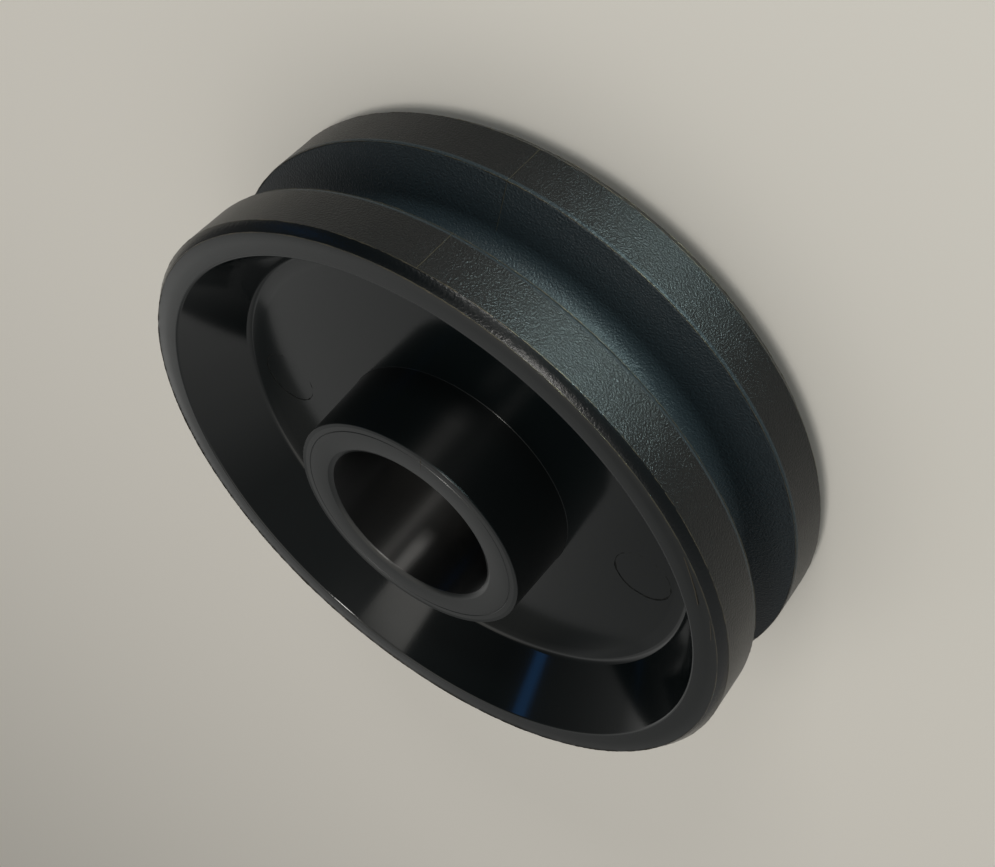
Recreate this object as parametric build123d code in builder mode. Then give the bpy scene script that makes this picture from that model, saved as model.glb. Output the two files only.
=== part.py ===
"""Wire rope sheave: one moulded grooved wheel with a plain bored hub.

The wheel lies on the end of its hub. The bore runs along Z, and the middle of the
rope groove lies in the XY plane. Every size is in millimetres.
"""
import os
from math import cos, radians, sin, tan

from build123d import *

os.makedirs("parts", exist_ok=True)

# Rim
rim_diameter = 60.0            # over the flanges
rim_width = 17.0               # across both flanges
corner_bevel_in = 0.6          # bevel on a flange's outer corner, measured on its end face
corner_bevel_across = 0.8      # the same bevel, measured along the band

# Rope groove
rope_groove_radius = 2.4       # round bottom that the rope lies in
groove_depth = 5.6             # from the flanges' outside to the bottom of the groove
groove_flank_angle = 16.0      # how far each flank leans out
groove_edge_bevel = 0.25

# Hub
hub_length = 19.5
hub_end_diameter = 23.0
hub_draft = 2.0                # degrees
hub_edge_bevel = 0.2
bore_diameter = 16.5
bore_mouth_chamfer = 0.45

# Recess on each side, between the hub and the rim
web_thickness = 5.0
end_face_width = 2.8           # end of a flange, from its outside to the recess
recess_wall_draft = 30.0       # degrees
recess_edge_bevel = 0.2
rim_wall_fillet = 0.7
hub_root_bevel = 0.3

# Marks that the ejector pins leave on the upper side of the web
ejector_mark_radius = 2.7
ejector_mark_depth = 0.06
ejector_mark_inset = 4.5       # from the foot of the rim's wall to the middle of a mark
ejector_first_angle = 24.4     # degrees from +X
ejector_count = 2

# Sizes that follow from those above
rim_radius = rim_diameter / 2
rim_face = rim_width / 2
hub_end = hub_length / 2
web_face = web_thickness / 2
hub_end_radius = hub_end_diameter / 2
hub_root_radius = hub_end_radius + (hub_end - web_face) * tan(radians(hub_draft))
recess_mouth_radius = rim_radius - end_face_width
recess_floor_radius = recess_mouth_radius - (rim_face - web_face) * tan(radians(recess_wall_draft))
ejector_circle_radius = recess_floor_radius - ejector_mark_inset
groove_root_radius = rim_radius - groove_depth
groove_centre_radius = groove_root_radius + rope_groove_radius
flank_start_radius = groove_centre_radius - rope_groove_radius * sin(radians(groove_flank_angle))
flank_start_height = rope_groove_radius * cos(radians(groove_flank_angle))
flank_rise = tan(radians(groove_flank_angle))
groove_cut_radius = rim_radius + 1.0
groove_cut_height = flank_start_height + (groove_cut_radius - flank_start_radius) * flank_rise
groove_edge_height = flank_start_height + (rim_radius - flank_start_radius) * flank_rise


def rings(part, radius, height):
    """The circular edges of this radius, at this height above or below the middle plane."""
    circles = part.edges().filter_by(GeomType.CIRCLE)
    same_radius = circles.filter_by(lambda edge: abs(edge.radius - radius) < 0.01)
    return same_radius.filter_by(lambda edge: abs(abs(edge.arc_center.Z) - height) < 0.01)


with BuildPart() as sheave:
    # Blank of the wheel, as wide as the two flanges
    with BuildSketch(Plane.XY):
        Circle(rim_radius)
    extrude(amount=rim_face, both=True)

    # Recess above and below the web, with a wall that slopes for the mould
    with BuildSketch(Plane.XZ):
        with BuildLine():
            Polyline(
                (0, web_face),
                (recess_floor_radius, web_face),
                (recess_mouth_radius, rim_face),
                (0, rim_face),
                close=True,
            )
        recess_section = make_face()
        mirror(recess_section, about=Plane.XZ)
    revolve(axis=Axis.Z, mode=Mode.SUBTRACT)

    # Hub, thicker where it joins the web, standing out past both end faces of the rim
    with BuildSketch(Plane.XZ):
        with BuildLine():
            Polyline(
                (0, 0),
                (hub_root_radius, 0),
                (hub_root_radius, web_face),
                (hub_end_radius, hub_end),
                (0, hub_end),
                close=True,
            )
        hub_section = make_face()
        mirror(hub_section, about=Plane.XZ)
    revolve(axis=Axis.Z)

    # Rope groove: a round bottom with two straight flanks
    with BuildSketch(Plane.XZ):
        with BuildLine():
            Polyline(
                (flank_start_radius, -flank_start_height),
                (groove_cut_radius, -groove_cut_height),
                (groove_cut_radius, groove_cut_height),
                (flank_start_radius, flank_start_height),
            )
            ThreePointArc(
                (flank_start_radius, flank_start_height),
                (groove_root_radius, 0),
                (flank_start_radius, -flank_start_height),
            )
        make_face()
    revolve(axis=Axis.Z, mode=Mode.SUBTRACT)

    # Bore
    with BuildSketch(Plane.XY):
        Circle(bore_diameter / 2)
    extrude(amount=hub_end, both=True, mode=Mode.SUBTRACT)

    # Edges
    fillet(rings(sheave, recess_floor_radius, web_face), radius=rim_wall_fillet)
    chamfer(rings(sheave, hub_root_radius, web_face), length=hub_root_bevel)
    chamfer(rings(sheave, recess_mouth_radius, rim_face), length=recess_edge_bevel)
    chamfer(rings(sheave, rim_radius, groove_edge_height), length=groove_edge_bevel)
    chamfer(rings(sheave, hub_end_radius, hub_end), length=hub_edge_bevel)
    chamfer(rings(sheave, bore_diameter / 2, hub_end), length=bore_mouth_chamfer)
    flat_faces = sheave.faces().filter_by(GeomType.PLANE)
    for end_face in flat_faces.filter_by(lambda face: abs(abs(face.center().Z) - rim_face) < 0.01):
        corner = end_face.edges().filter_by(lambda edge: abs(edge.radius - rim_radius) < 0.01)
        chamfer(corner, length=corner_bevel_in, length2=corner_bevel_across, reference=end_face)

    # Ejector marks
    with BuildSketch(Plane.XY.offset(web_face)):
        with PolarLocations(ejector_circle_radius, ejector_count, start_angle=ejector_first_angle):
            Circle(ejector_mark_radius)
    extrude(amount=-ejector_mark_depth, mode=Mode.SUBTRACT)

sheave.part.label = "sheave"
export_step(sheave.part, "parts/sheave.step")
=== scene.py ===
# %% [markdown]
# # A wire rope sheave
# This lesson dresses one moulded plastic sheave. The wheel lies on the end of its hub, with
# its bore upright. Its main form is turned round one axis, so one section drawn in profile
# rules the whole piece, and Geometry Nodes do the turning.

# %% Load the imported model
import math

import bpy
from mathutils import Euler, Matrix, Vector


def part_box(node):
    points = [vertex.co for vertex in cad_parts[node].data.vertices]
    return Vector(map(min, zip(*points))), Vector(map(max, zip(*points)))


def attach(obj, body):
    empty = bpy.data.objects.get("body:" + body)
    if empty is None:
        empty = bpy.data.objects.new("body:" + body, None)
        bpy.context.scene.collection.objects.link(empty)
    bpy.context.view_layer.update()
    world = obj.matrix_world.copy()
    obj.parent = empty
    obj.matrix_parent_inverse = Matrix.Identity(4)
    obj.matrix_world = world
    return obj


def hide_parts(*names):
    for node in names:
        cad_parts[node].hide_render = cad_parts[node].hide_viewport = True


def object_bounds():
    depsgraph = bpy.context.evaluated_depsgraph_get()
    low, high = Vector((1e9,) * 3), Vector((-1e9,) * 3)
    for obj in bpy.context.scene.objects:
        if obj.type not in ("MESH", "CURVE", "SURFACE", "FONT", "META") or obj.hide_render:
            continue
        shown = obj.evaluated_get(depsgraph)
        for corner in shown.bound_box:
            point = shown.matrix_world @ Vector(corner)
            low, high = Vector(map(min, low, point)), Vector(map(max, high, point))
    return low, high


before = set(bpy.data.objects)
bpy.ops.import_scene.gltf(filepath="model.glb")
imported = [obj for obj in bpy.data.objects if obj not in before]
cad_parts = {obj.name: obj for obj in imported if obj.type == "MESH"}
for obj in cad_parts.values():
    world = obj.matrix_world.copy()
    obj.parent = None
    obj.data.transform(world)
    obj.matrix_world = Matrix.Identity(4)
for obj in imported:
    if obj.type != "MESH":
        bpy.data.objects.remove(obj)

cad_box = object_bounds()
low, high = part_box("sheave")
print("CAD box in mm:", [round(1000 * side, 2) for side in high - low])

# %% [markdown]
# ## Sizes
# The wheel's own box gives its largest radius and its height. The other sizes are those of
# the moulding, in millimetres, so that each can be changed by itself. `MM` turns them into
# metres, which is what Blender works in here. The four skin sizes at the end say how far one
# finish reaches past the corner where the next surface begins.

# %% Sizes of the moulding
MM = 0.001
RIM_RADIUS = high.x / MM
HUB_END = high.z / MM
RIM_FACE = 8.5
BEVEL_IN = 0.6
BEVEL_ACROSS = 0.8
BEVEL_CORNER_ROUND = 0.08
GROOVE_RADIUS = 2.4
GROOVE_DEPTH = 5.6
FLANK_ANGLE = math.radians(16)
GROOVE_EDGE_ROUND = 0.3
END_FACE_WIDTH = 2.8
LIP_ROUND = 0.3
WALL_DRAFT = math.radians(30)
WALL_FILLET = 0.7
WEB_FACE = 2.5
HUB_END_RADIUS = 11.5
HUB_DRAFT = math.radians(2)
HUB_ROOT_ROUND = 0.04
HUB_EDGE_ROUND = 0.04
BORE_RADIUS = 8.25
BORE_MOUTH_WIDTH = 0.45
BORE_MOUTH_DEPTH = 0.25
BORE_MOUTH_ROUND = 0.04
SLEEVE_LINE_RADIUS = 10.66
SLEEVE_LINE_HALF_WIDTH = 0.06
SLEEVE_LINE_DEPTH = 0.05

GROOVE_SKIN_ON_BAND = 0.3
RECESS_SKIN_ON_WEB = 1.5
HUB_SKIN_ON_WEB = 0.8
HUB_SKIN_ON_END = 0.35
print("rim radius", round(RIM_RADIUS, 3), "hub end at", round(HUB_END, 3))

# %% [markdown]
# ## The section
# Half of the section, from the bottom of the rope groove round the flange, down into the
# recess and up over the hub to the bore. Each corner says how far from the axis and how high
# it is, how large a round it carries, and which finish begins there. Straight runs get a few
# extra corners, so that one finish ends cleanly where the mould changes. The other half
# mirrors it, because both mould halves are alike.

# %% Corners of the section
GROOVE, BAND, BEVEL, FACE, RECESS, WEB, HUB_SIDE, HUB_FACE, BORE, MARK_LINE = range(10)
# How far from the recess an extra corner keeps the flat of the end face from its lip, in mm.
FACE_SPLIT = 1.0


def section_corners():
    """(radius, height, round, finish) from the groove's middle to the bore's middle, in mm."""
    groove_centre = RIM_RADIUS - GROOVE_DEPTH + GROOVE_RADIUS
    corner_height = GROOVE_RADIUS / math.cos(FLANK_ANGLE)
    # Where the flank's line crosses the groove's lowest circle, and where it meets the band.
    root = groove_centre - GROOVE_RADIUS
    root_height = corner_height - (groove_centre - root) * math.tan(FLANK_ANGLE)
    edge_height = corner_height + (RIM_RADIUS - groove_centre) * math.tan(FLANK_ANGLE)
    mouth = RIM_RADIUS - END_FACE_WIDTH
    floor_radius = mouth - (RIM_FACE - WEB_FACE) * math.tan(WALL_DRAFT)
    hub_root = HUB_END_RADIUS + (HUB_END - WEB_FACE) * math.tan(HUB_DRAFT)
    return [
        (root, 0.0, 0.0, GROOVE),
        (root, root_height, GROOVE_RADIUS, GROOVE),
        (RIM_RADIUS, edge_height, GROOVE_EDGE_ROUND, GROOVE),
        (RIM_RADIUS, edge_height + GROOVE_SKIN_ON_BAND, 0.0, BAND),
        (RIM_RADIUS, RIM_FACE - BEVEL_ACROSS, BEVEL_CORNER_ROUND, BEVEL),
        (RIM_RADIUS - BEVEL_IN, RIM_FACE, BEVEL_CORNER_ROUND, FACE),
        (mouth + FACE_SPLIT, RIM_FACE, 0.0, FACE),
        (mouth, RIM_FACE, LIP_ROUND, RECESS),
        (floor_radius, WEB_FACE, WALL_FILLET, RECESS),
        (floor_radius - RECESS_SKIN_ON_WEB, WEB_FACE, 0.0, WEB),
        (hub_root + HUB_SKIN_ON_WEB, WEB_FACE, 0.0, WEB),
        (hub_root, WEB_FACE, HUB_ROOT_ROUND, HUB_SIDE),
        (HUB_END_RADIUS, HUB_END, HUB_EDGE_ROUND, HUB_SIDE),
        (HUB_END_RADIUS - HUB_SKIN_ON_END, HUB_END, 0.0, HUB_FACE),
        (SLEEVE_LINE_RADIUS + SLEEVE_LINE_HALF_WIDTH, HUB_END, 0.0, HUB_FACE),
        (SLEEVE_LINE_RADIUS, HUB_END - SLEEVE_LINE_DEPTH, 0.0, HUB_FACE),
        (SLEEVE_LINE_RADIUS - SLEEVE_LINE_HALF_WIDTH, HUB_END, 0.0, HUB_FACE),
        (BORE_RADIUS + BORE_MOUTH_WIDTH, HUB_END, BORE_MOUTH_ROUND, HUB_FACE),
        (BORE_RADIUS, HUB_END - BORE_MOUTH_DEPTH, BORE_MOUTH_ROUND, BORE),
        (BORE_RADIUS, 0.0, 0.0, BORE),
    ]


def whole_section():
    """The corners of both halves, in order round the section."""
    upper = section_corners()
    lower = []
    # Going down the mirrored half, a finish begins at the corner where it ended going up.
    for corner, before in zip(upper[-2:0:-1], upper[-3::-1]):
        radius, height, size, finish = corner
        lower.append((radius, -height, size, before[3]))
    return upper + lower


section = whole_section()
print("corners in the section:", len(section))

# %% [markdown]
# The corners become a mesh of bare edges that carries the rounds and finishes as attributes,
# because an attribute on a point goes wherever the nodes send the point.

# %% The section as a mesh of edges
# The steps for each round that is at least so large, in mm.
STEPS_FOR_ROUND = ((2.0, 12), (0.3, 4), (0.0, 1))


def steps_in_round(size):
    """A large round is cut into more steps than a small one."""
    return next(steps for least, steps in STEPS_FOR_ROUND if size >= least)


def section_mesh(corners):
    mesh = bpy.data.meshes.new("sheave_section")
    points = [(radius * MM, 0.0, height * MM) for radius, height, size, finish in corners]
    edges = [(index, (index + 1) % len(points)) for index in range(len(points))]
    mesh.from_pydata(points, edges, [])
    sizes = [size for radius, height, size, finish in corners]
    on_points = (
        ("corner_round", "FLOAT", [size * MM for size in sizes]),
        ("corner_steps", "INT", [steps_in_round(size) for size in sizes]),
        ("finish", "INT", [finish for radius, height, size, finish in corners]),
    )
    for name, kind, values in on_points:
        mesh.attributes.new(name, kind, "POINT").data.foreach_set("value", values)
    return mesh


wheel = bpy.data.objects.new("sheave_wheel", section_mesh(section))
bpy.context.collection.objects.link(wheel)
print("edges in the section:", len(wheel.data.edges))

# %% [markdown]
# ## Small helpers for node trees
# Both kinds of tree below, geometry and shader, are built from the same three acts: add a
# node, give its inputs a value or a wire, and read one output.

# %% Node helpers
def pick(sockets, key):
    """The socket in use with that name, or at that place: some nodes hide one for each type."""
    if isinstance(key, int):
        return sockets[key]
    return next(socket for socket in sockets if socket.name == key and socket.enabled)


def add_node(tree, kind, inputs=None, **settings):
    node = tree.nodes.new(kind)
    for name, value in settings.items():
        setattr(node, name, value)
    for key, value in (inputs or {}).items():
        socket = pick(node.inputs, key)
        if isinstance(value, bpy.types.NodeSocket):
            tree.links.new(value, socket)
        else:
            socket.default_value = value
    return node


def calculate(tree, operation, first, second=0.0, third=0.0):
    values = {0: first, 1: second, 2: third}
    return add_node(tree, "ShaderNodeMath", values, operation=operation).outputs[0]


def on_vectors(tree, operation, inputs):
    """The one result of a vector operation: a vector, or a number for a length."""
    node = add_node(tree, "ShaderNodeVectorMath", inputs, operation=operation)
    return next(socket for socket in node.outputs if socket.enabled)


def noise_in_4d(tree, inputs):
    """Noise whose fourth coordinate moves it to another pattern."""
    return add_node(tree, "ShaderNodeTexNoise", inputs, noise_dimensions="4D")


def named_value(tree, name, kind="FLOAT"):
    node = add_node(tree, "GeometryNodeInputNamedAttribute", {"Name": name}, data_type=kind)
    return pick(node.outputs, "Attribute")


# %% [markdown]
# ## Finishes
# The whole wheel is one black plastic, but the mould gives each surface its own skin. The
# slides that form the rim were spark-eroded, so the bands and the groove come out as a fine
# glittering grain. The end faces are satin, and the recess, hub and bore were drawn off
# polished steel, which leaves hairlines along the axis. A plastic this dark shows almost no
# colour of its own: what the eye sees is gloss, so roughness and relief do the work. The
# groove is the exception: its black is made lighter as painted light, which lifts the shade
# inside it.

# %% Black plastic
QUARTER_TURN = 0.25


def shader_of(material):
    return material.node_tree.nodes["Principled BSDF"]


def black_plastic(name, colour, roughness, specular, drawn=0.0):
    """A plain black skin. drawn, 0 to 1, says how far its gloss spreads along the axis."""
    material = bpy.data.materials.new(name)
    material.use_nodes = True
    shader = shader_of(material)
    shader.inputs["Base Color"].default_value = (*colour, 1)
    shader.inputs["Roughness"].default_value = roughness
    shader.inputs["Specular IOR Level"].default_value = specular
    if drawn:
        # The tangent runs round the wheel, so the spread is turned a quarter away from it.
        tree = material.node_tree
        round_axis = add_node(tree, "ShaderNodeTangent", direction_type="RADIAL", axis="Z")
        tree.links.new(round_axis.outputs["Tangent"], shader.inputs["Tangent"])
        shader.inputs["Anisotropic"].default_value = drawn
        shader.inputs["Anisotropic Rotation"].default_value = QUARTER_TURN
    return material


# %% [markdown]
# Relief goes over that base, one layer on another. A noise that is even in all directions
# makes grain. The same noise read along stretched coordinates makes hairlines instead: they
# run along the axis where the mould was drawn off, and round it where a face was turned. The
# grain of the rim is laid out on a slightly smaller circle, which makes it longer round it.

# %% Relief and uneven gloss
STRETCH = {
    # The radius, in mm, at which one turn of the pattern is laid out, then how much of the
    # height and of the distance from the axis it follows.
    "drawn": (20, 0.02, 0),
    "turned": (0.4, 0, 1),
    "rim": (26, 1, 1),
}
NOISE_ROUGHNESS = 0.6
RELIEF_DETAIL = 2.0
GLOSS_DETAIL = 5.0


def stretched(tree, direction):
    """Coordinates laid out round the axis, and a fourth one that follows the radius."""
    reach, lift, spread = STRETCH[direction]
    place = add_node(tree, "ShaderNodeTexCoord").outputs["Object"]
    spot = add_node(tree, "ShaderNodeSeparateXYZ", {"Vector": place}).outputs
    flat = add_node(tree, "ShaderNodeCombineXYZ", {"X": spot["X"], "Y": spot["Y"]})
    flat = flat.outputs["Vector"]
    radius = on_vectors(tree, "LENGTH", {0: flat})
    outwards = on_vectors(tree, "NORMALIZE", {0: flat})
    circle = on_vectors(tree, "SCALE", {0: outwards, "Scale": reach * MM})
    climb = calculate(tree, "MULTIPLY", spot["Z"], lift)
    offset = add_node(tree, "ShaderNodeCombineXYZ", {"Z": climb}).outputs["Vector"]
    laid_out = on_vectors(tree, "ADD", {0: circle, 1: offset})
    return laid_out, calculate(tree, "MULTIPLY", radius, spread)


def add_relief(material, size, height, direction=None):
    """Grain of that size and height in mm, laid out as STRETCH says if a direction is given."""
    tree = material.node_tree
    normal = shader_of(material).inputs["Normal"]
    if direction is None:
        place, fourth = add_node(tree, "ShaderNodeTexCoord").outputs["Object"], 0.0
    else:
        place, fourth = stretched(tree, direction)
    noise = noise_in_4d(tree, {
        "Vector": place, "W": fourth, "Scale": 1 / (size * MM),
        "Detail": RELIEF_DETAIL, "Roughness": NOISE_ROUGHNESS,
    })
    bump = add_node(tree, "ShaderNodeBump", {
        "Strength": 1.0, "Distance": height * MM, "Height": noise.outputs["Fac"],
    })
    if normal.is_linked:
        tree.links.new(normal.links[0].from_socket, bump.inputs["Normal"])
    tree.links.new(bump.outputs["Normal"], normal)


def add_uneven_gloss(material, size, amount):
    """Lets the roughness drift by that amount over patches of that size in mm."""
    tree = material.node_tree
    roughness = shader_of(material).inputs["Roughness"]
    place = add_node(tree, "ShaderNodeTexCoord").outputs["Object"]
    noise = add_node(tree, "ShaderNodeTexNoise", {
        "Vector": place, "Scale": 1 / (size * MM),
        "Detail": GLOSS_DETAIL, "Roughness": NOISE_ROUGHNESS,
    })
    least = roughness.default_value - amount / 2
    drift = calculate(tree, "MULTIPLY_ADD", noise.outputs["Fac"], amount, least)
    tree.links.new(drift, roughness)


# %% [markdown]
# Each finish is then a few calls with its own numbers. The grain of the bands is 0.15 mm
# wide and steep enough to glint. Under it the gloss is wider along the axis than round it,
# which keeps a highlight on the rim short and its ends clean.

# %% The finishes
BLACK = (0.0022, 0.0036, 0.0040)
DEEP_BLACK = (0.0008, 0.0013, 0.0016)
# The groove's black is several times lighter than the others: painted light that lifts the shade
# inside the groove.
GROOVE_PAINTED_LIGHT_BLACK = (0.0095, 0.0125, 0.0148)
LINE_BLACK = (0.005, 0.0056, 0.0054)
FLASH_BLACK = (0.02, 0.017, 0.012)
# The gold tint on the flash's reflections is a painted warm highlight. FLASH_BLACK is a little
# lighter and warmer than the wheel's black.
PAINTED_GOLD_GLINT_TINT = (1, 0.82, 0.55, 1)

band_plastic = black_plastic("spark_textured_plastic", DEEP_BLACK, 0.33, 0.32, 0.92)
add_relief(band_plastic, 0.15, 0.085, "rim")
add_uneven_gloss(band_plastic, 5, 0.1)

# The groove's lighter base colour is painted light; its grain and gloss belong to the plastic.
groove_plastic_painted_light = black_plastic("groove_plastic_painted_light", GROOVE_PAINTED_LIGHT_BLACK, 0.38, 0.2, 0.5)
add_relief(groove_plastic_painted_light, 0.16, 0.08, "rim")
add_uneven_gloss(groove_plastic_painted_light, 4, 0.1)

bevel_plastic = black_plastic("bevel_plastic", DEEP_BLACK, 0.25, 0.3)
add_relief(bevel_plastic, 0.2, 0.03)

face_plastic = black_plastic("satin_end_face_plastic", BLACK, 0.3, 0.5)
add_relief(face_plastic, 0.2, 0.004)
add_relief(face_plastic, 0.12, 0.002, "turned")
add_uneven_gloss(face_plastic, 4, 0.1)

recess_plastic = black_plastic("smooth_recess_plastic", BLACK, 0.12, 0.45, 0.3)
add_relief(recess_plastic, 0.2, 0.001, "drawn")
add_uneven_gloss(recess_plastic, 6, 0.04)

hub_plastic = black_plastic("drawn_hub_plastic", BLACK, 0.32, 0.28, 0.88)
add_relief(hub_plastic, 0.2, 0.002, "drawn")

web_plastic = black_plastic("web_plastic", BLACK, 0.14, 0.4)
add_relief(web_plastic, 0.6, 0.002)
add_uneven_gloss(web_plastic, 6, 0.05)

bore_plastic = black_plastic("bore_plastic", DEEP_BLACK, 0.34, 0.9, 1.0)
add_relief(bore_plastic, 0.25, 0.004, "drawn")

mark_line_plastic = black_plastic("ragged_mark_line_plastic", LINE_BLACK, 0.6, 0.15)

flash_plastic_painted_gold_glints = black_plastic("thin_flash_plastic", FLASH_BLACK, 0.28, 0.6)
# Painted gold glints: this tint colours every reflection of the flash warm.
shader_of(flash_plastic_painted_gold_glints).inputs["Specular Tint"].default_value = PAINTED_GOLD_GLINT_TINT
add_relief(flash_plastic_painted_gold_glints, 0.1, 0.02)
print("finishes:", [skin.name for skin in bpy.data.materials if "plastic" in skin.name])

# %% [markdown]
# ## Ejector marks
# Two pins push the moulding out of its mould by the web, and each leaves a shallow round mark
# with an uneven matt line at its edge. A mark is best cut by its own shape, so there are two
# cutters: a disc that goes a little way into the web, and a thin ragged ring round it.

# %% The cutters of one mark
MARK_RADIUS = 2.7
MARK_DEPTH = 0.06
DISC_HEIGHT = 2.0
DISC_SIDES = 96
MARK_LINE_STEPS = 160
MARK_LINE_SIDES = 8
MARK_LINE_THINNEST = 0.03
MARK_LINE_THICKEST = 0.11
RAGGED_SIZE = 0.6
RAGGED_SEED = 4.0
RAGGED_DETAIL = 2.0
RAGGED_FROM, RAGGED_TO = 0.35, 0.7


def unit_profile(tree, sides):
    """A round profile of 1 mm radius, so that a scale of it is a radius in mm."""
    circle = add_node(tree, "GeometryNodeCurvePrimitiveCircle", {
        "Resolution": sides, "Radius": 1 * MM,
    })
    return circle.outputs["Curve"]


def mark_disc(tree, depth):
    """A disc that reaches that deep below the web's face."""
    disc = add_node(tree, "GeometryNodeMeshCylinder", {
        "Vertices": DISC_SIDES, "Radius": MARK_RADIUS * MM, "Depth": DISC_HEIGHT * MM,
    }).outputs["Mesh"]
    rise = calculate(tree, "SUBTRACT", DISC_HEIGHT / 2 * MM, depth)
    lift = add_node(tree, "ShaderNodeCombineXYZ", {"Z": rise}).outputs["Vector"]
    return add_node(tree, "GeometryNodeTransform", {
        "Geometry": disc, "Translation": lift,
    }).outputs["Geometry"]


def mark_ring(tree):
    """A ring of uneven thickness that lies half in the web, at the disc's edge."""
    place = add_node(tree, "GeometryNodeInputPosition").outputs["Position"]
    ragged = noise_in_4d(tree, {
        "Vector": place, "W": RAGGED_SEED, "Scale": 1 / (RAGGED_SIZE * MM),
        "Detail": RAGGED_DETAIL,
    })
    width = add_node(tree, "ShaderNodeMapRange", {
        "Value": ragged.outputs["Fac"], "From Min": RAGGED_FROM, "From Max": RAGGED_TO,
        "To Min": MARK_LINE_THINNEST, "To Max": MARK_LINE_THICKEST,
    })
    circle = add_node(tree, "GeometryNodeCurvePrimitiveCircle", {
        "Resolution": MARK_LINE_STEPS, "Radius": MARK_RADIUS * MM,
    })
    return add_node(tree, "GeometryNodeCurveToMesh", {
        "Curve": circle.outputs["Curve"],
        "Profile Curve": unit_profile(tree, MARK_LINE_SIDES),
        "Scale": width.outputs["Result"],
    }).outputs["Mesh"]


# %% [markdown]
# Each cutter is built once and copied to as many points on a circle as there are pins. A
# Boolean node then cuts the copies out of the wheel, and a cut keeps the finish of its cutter.

# %% Cut the marks
MARK_CIRCLE_RADIUS = 19.24
MARK_ANGLE = math.radians(24.4)
MARK_COUNT = 2


def cut_ejector_marks(tree, wheel, depth):
    """The wheel's mesh with its marks cut in. depth is a socket, in metres."""
    number = add_node(tree, "GeometryNodeInputIndex").outputs["Index"]
    turn = calculate(tree, "MULTIPLY_ADD", number, math.tau / MARK_COUNT, MARK_ANGLE)
    reach = MARK_CIRCLE_RADIUS * MM
    spot = add_node(tree, "ShaderNodeCombineXYZ", {
        "X": calculate(tree, "MULTIPLY", calculate(tree, "COSINE", turn), reach),
        "Y": calculate(tree, "MULTIPLY", calculate(tree, "SINE", turn), reach),
        "Z": WEB_FACE * MM,
    }).outputs["Vector"]
    facing = add_node(tree, "ShaderNodeCombineXYZ", {"Z": turn}).outputs["Vector"]
    pins = add_node(tree, "GeometryNodePoints", {"Count": MARK_COUNT, "Position": spot})
    cut = add_node(tree, "GeometryNodeMeshBoolean", {"Mesh 1": wheel},
                   operation="DIFFERENCE", solver="MANIFOLD")
    for cutter, finish in ((mark_disc(tree, depth), WEB), (mark_ring(tree), MARK_LINE)):
        skin = add_node(tree, "GeometryNodeStoreNamedAttribute", {
            "Geometry": cutter, "Name": "finish", "Value": finish,
        }, data_type="INT", domain="FACE")
        copies = add_node(tree, "GeometryNodeInstanceOnPoints", {
            "Points": pins.outputs["Points"], "Instance": skin.outputs["Geometry"],
            "Rotation": facing,
        })
        solid = add_node(tree, "GeometryNodeRealizeInstances", {
            "Geometry": copies.outputs["Instances"],
        })
        tree.links.new(solid.outputs["Geometry"], cut.inputs["Mesh 2"])
    return cut.outputs["Mesh"]


# %% [markdown]
# ## Turning the section
# A lathe takes the rounded outline and copies it round the axis. In nodes, a flat grid
# stands for the unrolled surface: one direction counts steps round the wheel, the other
# counts points along the outline. Every grid point looks up its outline point and swings it
# to its own angle. That gives full control of the count each way, and the finish of each
# strip is looked up in the same manner.

# %% The outline swung round the axis
def swung_round(tree, section, steps):
    """The section's outline turned round the axis, with a finish on every face."""
    curve = add_node(tree, "GeometryNodeMeshToCurve", {"Mesh": section}).outputs["Curve"]
    rounded = add_node(tree, "GeometryNodeFilletCurve", {
        "Curve": curve,
        "Count": named_value(tree, "corner_steps", "INT"),
        "Radius": named_value(tree, "corner_round"),
        "Limit Radius": True,
    }, mode="POLY").outputs["Curve"]
    outline = add_node(tree, "GeometryNodeCurveToMesh", {"Curve": rounded}).outputs["Mesh"]
    size = add_node(tree, "GeometryNodeAttributeDomainSize", {"Geometry": outline},
                    component="MESH")
    count = size.outputs["Point Count"]

    grid = add_node(tree, "GeometryNodeMeshGrid", {
        "Size X": 1.0,
        "Size Y": 1.0,
        "Vertices X": calculate(tree, "ADD", steps, 1),
        "Vertices Y": calculate(tree, "ADD", count, 1),
    })
    place = add_node(tree, "GeometryNodeInputPosition").outputs["Position"]
    spot = add_node(tree, "ShaderNodeSeparateXYZ", {"Vector": place}).outputs
    turn = calculate(tree, "MULTIPLY", calculate(tree, "ADD", spot["X"], 0.5), math.tau)
    along = calculate(tree, "MULTIPLY", calculate(tree, "ADD", spot["Y"], 0.5), count)

    strip = calculate(tree, "FLOORED_MODULO", calculate(tree, "FLOOR", along), count)
    finish = add_node(tree, "GeometryNodeSampleIndex", {
        "Geometry": outline, "Value": named_value(tree, "finish", "INT"), "Index": strip,
    }, data_type="INT", domain="POINT")
    marked = add_node(tree, "GeometryNodeStoreNamedAttribute", {
        "Geometry": grid.outputs["Mesh"], "Name": "finish",
        "Value": pick(finish.outputs, "Value"),
    }, data_type="INT", domain="FACE")

    row = calculate(tree, "FLOORED_MODULO", calculate(tree, "ROUND", along), count)
    point = add_node(tree, "GeometryNodeSampleIndex", {
        "Geometry": outline, "Value": place, "Index": row,
    }, data_type="FLOAT_VECTOR", domain="POINT")
    outline_spot = add_node(tree, "ShaderNodeSeparateXYZ", {
        "Vector": pick(point.outputs, "Value"),
    }).outputs
    swung = add_node(tree, "ShaderNodeCombineXYZ", {
        "X": calculate(tree, "MULTIPLY", outline_spot["X"], calculate(tree, "COSINE", turn)),
        "Y": calculate(tree, "MULTIPLY", outline_spot["X"], calculate(tree, "SINE", turn)),
        "Z": outline_spot["Z"],
    })
    return add_node(tree, "GeometryNodeSetPosition", {
        "Geometry": marked.outputs["Geometry"], "Position": swung.outputs["Vector"],
    }).outputs["Geometry"]


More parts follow.
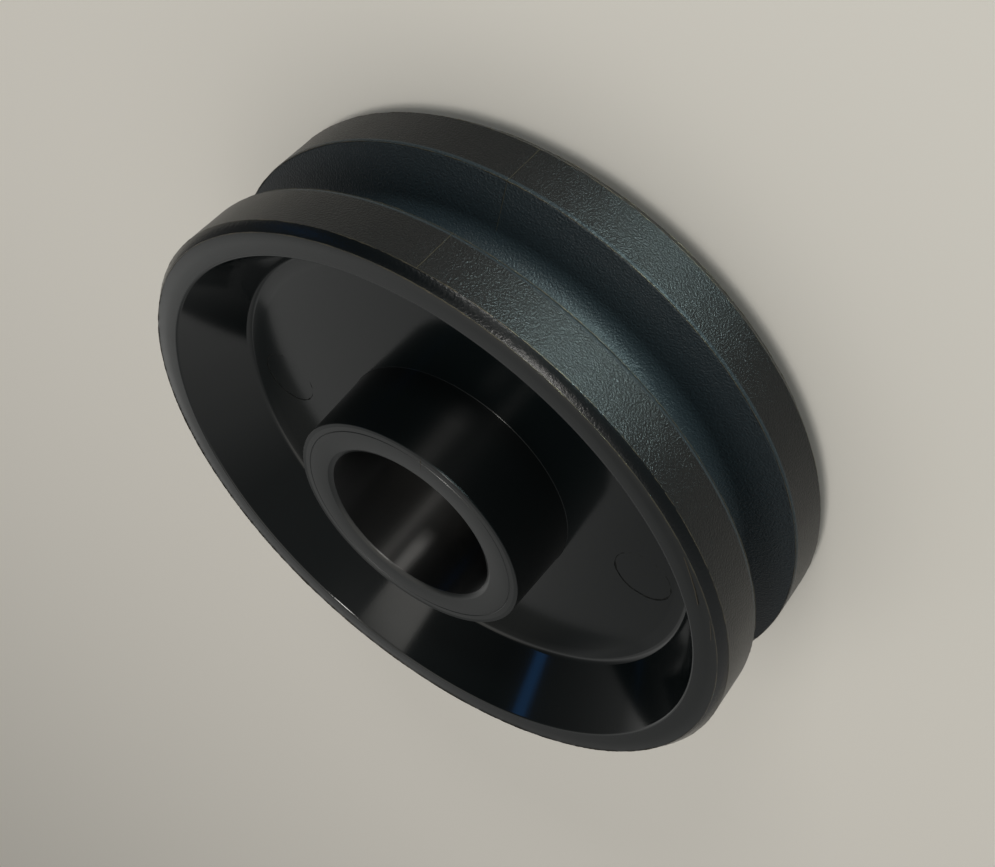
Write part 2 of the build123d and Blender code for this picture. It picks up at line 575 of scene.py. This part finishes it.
# %% [markdown]
# The turned surface still has an open seam, no marks and no material. The tree closes the
# seam, cuts the marks, shades all but the sharp edges smooth, and then gives each finish's
# faces their material by the number that they carry.

# %% The lathe tree
SHARP_ANGLE = 0.6


def with_soft_and_sharp_edges(tree, solid):
    """Smooth shading, broken at every edge that is sharper than SHARP_ANGLE."""
    smooth = add_node(tree, "GeometryNodeSetShadeSmooth", {"Geometry": solid})
    angle = add_node(tree, "GeometryNodeInputMeshEdgeAngle").outputs["Unsigned Angle"]
    return add_node(tree, "GeometryNodeSetShadeSmooth", {
        "Geometry": smooth.outputs["Geometry"],
        "Selection": calculate(tree, "GREATER_THAN", angle, SHARP_ANGLE),
        "Shade Smooth": False,
    }, domain="EDGE").outputs["Geometry"]


def lathe_tree(skins):
    """skins: the material of each finish, in the order in which they are set."""
    tree = bpy.data.node_groups.new("turned_wheel", "GeometryNodeTree")
    tree.is_modifier = True
    sockets = tree.interface
    sockets.new_socket("Section", in_out="INPUT", socket_type="NodeSocketGeometry")
    around = sockets.new_socket("Steps Around", in_out="INPUT", socket_type="NodeSocketInt")
    weld = sockets.new_socket("Weld Distance", in_out="INPUT", socket_type="NodeSocketFloat")
    depth = sockets.new_socket("Mark Depth", in_out="INPUT", socket_type="NodeSocketFloat")
    sockets.new_socket("Wheel", in_out="OUTPUT", socket_type="NodeSocketGeometry")
    given = tree.nodes.new("NodeGroupInput").outputs

    shaped = swung_round(tree, given["Section"], given["Steps Around"])
    welded = add_node(tree, "GeometryNodeMergeByDistance", {
        "Geometry": shaped, "Distance": given["Weld Distance"],
    }).outputs["Geometry"]
    marked = cut_ejector_marks(tree, welded, given["Mark Depth"])
    result = add_node(tree, "GeometryNodeRealizeInstances", {
        "Geometry": with_soft_and_sharp_edges(tree, marked),
    })
    number = named_value(tree, "finish", "INT")
    for finish, material in skins.items():
        chosen = add_node(tree, "FunctionNodeCompare", {"A": number, "B": finish},
                          data_type="INT", operation="EQUAL")
        result = add_node(tree, "GeometryNodeSetMaterial", {
            "Geometry": result.outputs["Geometry"], "Selection": chosen.outputs[0],
            "Material": material,
        })
    add_node(tree, "NodeGroupOutput", {"Wheel": result.outputs["Geometry"]})
    return tree, {
        "around": around.identifier, "weld": weld.identifier, "depth": depth.identifier,
    }


# %% [markdown]
# The number of steps round the wheel sets how smooth its outline looks, and weld closes the
# seam where the grid meets itself. A Weighted Normal modifier then lets the large flat faces
# keep their true direction, so that only the rounds bend the light.

# %% Turn the wheel
STEPS_AROUND = 720
# In metres: a thousandth of a millimetre.
WELD_DISTANCE = 0.000001
SKINS = {
    GROOVE: groove_plastic_painted_light,
    BAND: band_plastic,
    BEVEL: bevel_plastic,
    FACE: face_plastic,
    RECESS: recess_plastic,
    WEB: web_plastic,
    HUB_SIDE: hub_plastic,
    HUB_FACE: face_plastic,
    BORE: bore_plastic,
    MARK_LINE: mark_line_plastic,
}


def make_plain_mesh(piece, name):
    """Replaces a piece's modifiers by their result, and says what came out."""
    evaluated = piece.evaluated_get(bpy.context.evaluated_depsgraph_get())
    mesh = bpy.data.meshes.new_from_object(evaluated)
    # The nodes leave an empty material slot behind, which nothing uses.
    for index in reversed(range(len(mesh.materials))):
        if mesh.materials[index] is None:
            mesh.materials.pop(index=index)
    piece.modifiers.clear()
    piece.data = mesh
    mesh.name = name
    mesh.calc_loop_triangles()
    print(name, "triangles:", len(mesh.loop_triangles), "materials:", len(mesh.materials))


lathe, lathe_inputs = lathe_tree(SKINS)
turning = wheel.modifiers.new("turning", "NODES")
turning.node_group = lathe
turning[lathe_inputs["around"]] = STEPS_AROUND
turning[lathe_inputs["weld"]] = WELD_DISTANCE
turning[lathe_inputs["depth"]] = MARK_DEPTH * MM
wheel.modifiers.new("weighting", "WEIGHTED_NORMAL").keep_sharp = True
make_plain_mesh(wheel, "sheave_wheel")

# %% [markdown]
# ## Flash and parting lines
# Where two parts of a mould meet, a little plastic creeps between them. Here it left a thin
# broken bead along each bevel and each edge of the groove, a fine line across the rim where
# the two slides met, and a few short curls that were never trimmed. A bead is a curve with a
# tiny round section. Noise moves it and thins it, so that no two stretches are alike.

# %% Where the lines run
PARTING_ANGLES = (-67.8, 112.2)
PARTING_BEAD = 0.035
CURL_POINTS = 12
# Start and end of each curl as (radius, degrees, height), then the radius of its bead.
CURLS = (
    ((29.1, -124, RIM_FACE), (28.6, -134, RIM_FACE + 0.05), 0.07),
    ((29.25, -137, RIM_FACE), (29.0, -142, RIM_FACE), 0.05),
    ((9.7, -77, HUB_END), (11.35, -76, HUB_END), 0.03),
)


def on_circle(radius, degrees, height, bead):
    turn = math.radians(degrees)
    return (radius * math.cos(turn), radius * math.sin(turn), height, bead)


def curl(start, end, bead):
    """Points from start to end, each with its place in mm and the bead's radius."""
    run = []
    for index in range(CURL_POINTS):
        share = index / (CURL_POINTS - 1)
        place = [a + (b - a) * share for a, b in zip(start, end)]
        run.append(on_circle(*place, bead))
    return run


def rim_line(degrees, bead):
    """A line over the whole rim at that angle, from one bevel through the groove to the next."""
    upper = [(radius, height) for radius, height, size, finish in section_corners()
             if finish <= BEVEL]
    lower = [(radius, -height) for radius, height in reversed(upper[1:])]
    return [on_circle(radius, degrees, height, bead) for radius, height in lower + upper]


lines = [rim_line(degrees, PARTING_BEAD) for degrees in PARTING_ANGLES]
lines += [curl(start, end, bead) for start, end, bead in CURLS]
print("lines of flash:", len(lines))

# %% [markdown]
# The lines go to the nodes as a small mesh of edges, with the bead's radius on each point.

# %% The lines as a mesh of edges
def edge_mesh(runs, name):
    mesh = bpy.data.meshes.new(name)
    points = []
    edges = []
    for run in runs:
        first = len(points)
        points.extend(run)
        edges.extend((first + index, first + index + 1) for index in range(len(run) - 1))
    mesh.from_pydata([(x * MM, y * MM, z * MM) for x, y, z, bead in points], edges, [])
    beads = mesh.attributes.new("bead", "FLOAT", "POINT")
    beads.data.foreach_set("value", [bead for x, y, z, bead in points])
    return mesh


flash = bpy.data.objects.new("mould_flash", edge_mesh(lines, "flash_lines"))
bpy.context.collection.objects.link(flash)
print("points in the lines:", len(flash.data.vertices))

# %% [markdown]
# One bead needs two noises. The first moves each point of the curve a little, which makes
# the bead wander. The second sets its thickness, in longer stretches, so that it thins out
# and swells as flash does.

# %% One bead along a curve
WANDER_SIZE = 0.5
WANDER_REACH = 0.09
WANDER_DETAIL = 3.0
BREAK_SIZE = 1.6
BREAK_DETAIL = 4.0
BREAK_ROUGHNESS = 0.7
BREAK_FROM, BREAK_TO = 0.42, 0.68
BREAK_SEED_STEP = 7.0
BEAD_SIDES = 6


def bead_along(tree, curve, thickness, seed, thinnest):
    """A wandering bead along a curve. thickness, a socket, gives its radius in mm."""
    place = add_node(tree, "GeometryNodeInputPosition").outputs["Position"]
    wander = noise_in_4d(tree, {
        "Vector": place, "W": seed, "Scale": 1 / (WANDER_SIZE * MM), "Detail": WANDER_DETAIL,
    })
    centred = on_vectors(tree, "SUBTRACT", {0: wander.outputs["Color"], 1: (0.5, 0.5, 0.5)})
    shift = on_vectors(tree, "SCALE", {0: centred, "Scale": WANDER_REACH * MM})
    moved = add_node(tree, "GeometryNodeSetPosition", {"Geometry": curve, "Offset": shift})
    broken = noise_in_4d(tree, {
        "Vector": place, "W": seed + BREAK_SEED_STEP, "Scale": 1 / (BREAK_SIZE * MM),
        "Detail": BREAK_DETAIL, "Roughness": BREAK_ROUGHNESS,
    })
    share = add_node(tree, "ShaderNodeMapRange", {
        "Value": broken.outputs["Fac"], "From Min": BREAK_FROM, "From Max": BREAK_TO,
        "To Min": thinnest, "To Max": 1.0,
    })
    size = calculate(tree, "MULTIPLY", share.outputs["Result"], thickness)
    return add_node(tree, "GeometryNodeCurveToMesh", {
        "Curve": moved.outputs["Geometry"], "Profile Curve": unit_profile(tree, BEAD_SIDES),
        "Scale": size, "Fill Caps": True,
    }).outputs["Mesh"]


# %% [markdown]
# The tree makes a circle for each edge that carries flash, takes in the mesh of lines, and
# lays a bead along every one of them.

# %% The flash tree
RING_THINNEST = 0.25
LINE_THINNEST = 0.6
LINE_SEED = 2.0
LINE_STEP = 0.15


def flash_tree(rings, material):
    """rings: (radius, height, seed) of each edge that carries flash, in mm."""
    tree = bpy.data.node_groups.new("flash_beads", "GeometryNodeTree")
    tree.is_modifier = True
    sockets = tree.interface
    sockets.new_socket("Lines", in_out="INPUT", socket_type="NodeSocketGeometry")
    thick = sockets.new_socket("Ring Bead", in_out="INPUT", socket_type="NodeSocketFloat")
    steps = sockets.new_socket("Ring Steps", in_out="INPUT", socket_type="NodeSocketInt")
    sockets.new_socket("Flash", in_out="OUTPUT", socket_type="NodeSocketGeometry")
    given = tree.nodes.new("NodeGroupInput").outputs
    joined = add_node(tree, "GeometryNodeJoinGeometry")
    for radius, height, seed in rings:
        ring = add_node(tree, "GeometryNodeCurvePrimitiveCircle", {
            "Resolution": given["Ring Steps"], "Radius": radius * MM,
        }).outputs["Curve"]
        ring = add_node(tree, "GeometryNodeTransform", {
            "Geometry": ring, "Translation": (0, 0, height * MM),
        }).outputs["Geometry"]
        bead = bead_along(tree, ring, given["Ring Bead"], seed, RING_THINNEST)
        tree.links.new(bead, joined.inputs["Geometry"])
    runs = add_node(tree, "GeometryNodeMeshToCurve", {"Mesh": given["Lines"]})
    runs = add_node(tree, "GeometryNodeResampleCurve", {
        "Curve": runs.outputs["Curve"], "Length": LINE_STEP * MM,
    }, mode="LENGTH").outputs["Curve"]
    bead = bead_along(tree, runs, named_value(tree, "bead"), LINE_SEED, LINE_THINNEST)
    tree.links.new(bead, joined.inputs["Geometry"])
    real = add_node(tree, "GeometryNodeRealizeInstances", {
        "Geometry": joined.outputs["Geometry"],
    })
    smooth = add_node(tree, "GeometryNodeSetShadeSmooth", {
        "Geometry": real.outputs["Geometry"],
    })
    done = add_node(tree, "GeometryNodeSetMaterial", {
        "Geometry": smooth.outputs["Geometry"], "Material": material,
    })
    add_node(tree, "NodeGroupOutput", {"Flash": done.outputs["Geometry"]})
    return tree, {"thick": thick.identifier, "steps": steps.identifier}


# %% [markdown]
# Each half of the rim carries three rings, two along the bevel and one along the groove's
# edge, and every ring has its own seed, so that none repeats another. The beads become a
# second mesh, because they lie on the wheel's surface and are not cut into it.

# %% Make the flash
RING_BEAD = 0.05
RING_STEPS = 1300
RING_SINK = 0.02
GROOVE_EDGE_SINK = 0.04

# The third corner of the section is the groove's edge.
groove_edge_height = section_corners()[2][1]
edges = (
    (RIM_RADIUS - BEVEL_IN, RIM_FACE),
    (RIM_RADIUS, RIM_FACE - BEVEL_ACROSS),
    (RIM_RADIUS - GROOVE_EDGE_SINK, groove_edge_height),
)
rings = [(radius - RING_SINK, side * height, 3.0 * index + side)
         for index, (radius, height) in enumerate(edges) for side in (1, -1)]
beads, bead_inputs = flash_tree(rings, flash_plastic_painted_gold_glints)
creeping = flash.modifiers.new("creeping", "NODES")
creeping.node_group = beads
creeping[bead_inputs["thick"]] = RING_BEAD
creeping[bead_inputs["steps"]] = RING_STEPS
make_plain_mesh(flash, "mould_flash")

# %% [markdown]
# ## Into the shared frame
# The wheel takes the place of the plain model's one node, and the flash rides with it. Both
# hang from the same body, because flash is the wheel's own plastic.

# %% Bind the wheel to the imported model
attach(wheel, "root")
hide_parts("sheave")
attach(flash, "root")
print("pieces in the frame:", wheel.name, flash.name)

# %% [markdown]
# ## Floor
# The wheel lies on a plain table top: pale, matt and slightly warm. It ends far outside the
# picture, so that its edge never shows in the wheel's gloss.

# %% Floor
FLOOR_HALF = 3.0
FLOOR_COLOUR = (0.66, 0.64, 0.6, 1)
FLOOR_ROUGHNESS = 0.9
FLOOR_SPECULAR = 0.1


def pale_floor():
    mesh = bpy.data.meshes.new("floor")
    level = cad_box[0].z
    corners = [(-FLOOR_HALF, -FLOOR_HALF, level), (FLOOR_HALF, -FLOOR_HALF, level),
               (FLOOR_HALF, FLOOR_HALF, level), (-FLOOR_HALF, FLOOR_HALF, level)]
    mesh.from_pydata(corners, [], [(0, 1, 2, 3)])
    material = bpy.data.materials.new("pale_floor")
    material.use_nodes = True
    shader = shader_of(material)
    shader.inputs["Base Color"].default_value = FLOOR_COLOUR
    shader.inputs["Roughness"].default_value = FLOOR_ROUGHNESS
    shader.inputs["Specular IOR Level"].default_value = FLOOR_SPECULAR
    mesh.materials.append(material)
    table_top = bpy.data.objects.new("floor", mesh)
    bpy.context.collection.objects.link(table_top)
    return table_top


floor = pale_floor()
print("floor at", round(cad_box[0].z / MM, 2), "mm")

# %% [markdown]
# ## Light
# Black gloss shows the room and hardly the plastic, so each lamp is there for one highlight.
# The key stands for the ceiling lamp and draws the shadow. The low strip glances along the
# table and lights the grain of the rim, whose flange keeps that light off the hub. Two soft
# windows leave a patch on the hub and one on the recess wall, and a dim blue strip leaves a
# blue line there.

# %% Soft lamps
# Name, azimuth and elevation in degrees, distance, width and height in metres, glow, colour.
LAMPS = (
    ("key", -87, 62, 0.5, 0.05, 0.2, 25.0, (1, 0.97, 0.92)),
    ("low_strip", -94, -1.56, 0.25, 0.125, 0.005, 480.0, (0.74, 1, 1)),
    ("hub_window", -64, 15, 0.6, 0.15, 0.08, 22.0, (1, 0.97, 0.92)),
    ("upper_window", -67, 36, 0.6, 0.2, 0.1, 1.6, (1, 0.98, 0.92)),
    ("blue_strip", 1, 22, 0.6, 0.05, 0.2, 1.0, (0.06, 0.36, 1)),
)


def soft_lamp(name, azimuth, elevation, distance, width, height, glow, colour):
    """An area lamp aimed at the wheel. glow is how bright its surface is: 1 looks white."""
    data = bpy.data.lights.new(name, "AREA")
    data.shape = "RECTANGLE"
    data.size = width
    data.size_y = height
    data.energy = glow * math.pi * width * height
    data.color = colour
    lamp = bpy.data.objects.new(name, data)
    bpy.context.collection.objects.link(lamp)
    across = math.radians(azimuth)
    up = math.radians(elevation)
    level = math.cos(up)
    away = Vector((level * math.cos(across), level * math.sin(across), math.sin(up)))
    lamp.location = away * distance
    lamp.rotation_euler = away.to_track_quat("Z", "Y").to_euler()


for lamp in LAMPS:
    soft_lamp(*lamp)
print("lamps:", [lamp[0] for lamp in LAMPS])

# %% [markdown]
# The world is a quiet room. Its brightness changes round the walls, as it does where windows
# and dark furniture take turns, and the ceiling is white. A gradient that runs round the
# horizon, read through a colour ramp, is enough for that.

# %% The room
# How bright the room's walls are at each azimuth, in degrees.
ROOM = (
    (-180, 0.42), (-165, 0.3), (-150, 0.2), (-110, 0.18), (-80, 0.2), (-50, 0.1), (-15, 0.05),
    (20, 0.12), (45, 0.2), (58, 0.5), (72, 0.74), (79, 0.46), (85, 0.36), (92, 0.42),
    (98, 0.22), (105, 0.2), (120, 0.3), (147, 0.44), (165, 0.46), (180, 0.42),
)
WALL_BLUE = 0.97
CEILING_COLOUR = (1.0, 0.97, 0.9, 1)
# The upward part of a direction where the wall ends and where the ceiling is full.
CEILING_FROM, CEILING_TO = 0.77, 0.92


def studio_world():
    world = bpy.data.worlds.new("studio")
    world.use_nodes = True
    tree = world.node_tree
    towards = add_node(tree, "ShaderNodeTexCoord").outputs["Generated"]
    around = add_node(tree, "ShaderNodeTexGradient", {"Vector": towards},
                      gradient_type="RADIAL")
    walls = add_node(tree, "ShaderNodeValToRGB", {"Fac": around.outputs["Fac"]})
    stops = walls.color_ramp.elements
    stops.remove(stops[1])
    stops[0].position = 0.0
    for index, (azimuth, glow) in enumerate(ROOM):
        stop = stops[0] if index == 0 else stops.new((azimuth + 180) / 360)
        stop.color = (glow, glow, glow * WALL_BLUE, 1)
    up = add_node(tree, "ShaderNodeSeparateXYZ", {"Vector": towards}).outputs["Z"]
    above = add_node(tree, "ShaderNodeMapRange", {
        "Value": up, "From Min": CEILING_FROM, "From Max": CEILING_TO,
    }, interpolation_type="SMOOTHSTEP")
    blend = add_node(tree, "ShaderNodeMix", {
        "Factor": above.outputs["Result"], "A": walls.outputs["Color"], "B": CEILING_COLOUR,
    }, data_type="RGBA")
    tree.links.new(pick(blend.outputs, "Result"), tree.nodes["Background"].inputs["Color"])
    bpy.context.scene.world = world


studio_world()
bpy.context.scene.view_settings.view_transform = "Standard"
print("stops round the walls:", len(ROOM))

# %% [markdown]
# ## Camera
# The camera looks down on the wheel from close by and is rolled, as a hand-held one may be.

# %% Camera
CAMERA_PLACE = (-0.488, -106.853, 60.469)
CAMERA_TARGET = (-0.488, -5.442, 0.0)
CAMERA_ROLL = math.radians(-138.302)
LENS = 49.56
SENSOR_WIDTH = 36.0
NEAREST = 0.01
FARTHEST = 20.0


def place_camera():
    data = bpy.data.cameras.new("camera")
    data.lens = LENS
    data.sensor_width = SENSOR_WIDTH
    data.clip_start = NEAREST
    data.clip_end = FARTHEST
    camera = bpy.data.objects.new("camera", data)
    bpy.context.collection.objects.link(camera)
    place = Vector(CAMERA_PLACE) * MM
    target = Vector(CAMERA_TARGET) * MM
    level = (target - place).to_track_quat("-Z", "Y").to_matrix()
    roll = Euler((0, 0, CAMERA_ROLL)).to_matrix()
    camera.location = place
    camera.rotation_euler = (level @ roll).to_euler()
    bpy.context.scene.camera = camera
    return camera


camera = place_camera()
print("camera:", round(camera.location.length / MM), "mm from the wheel, lens", LENS, "mm")
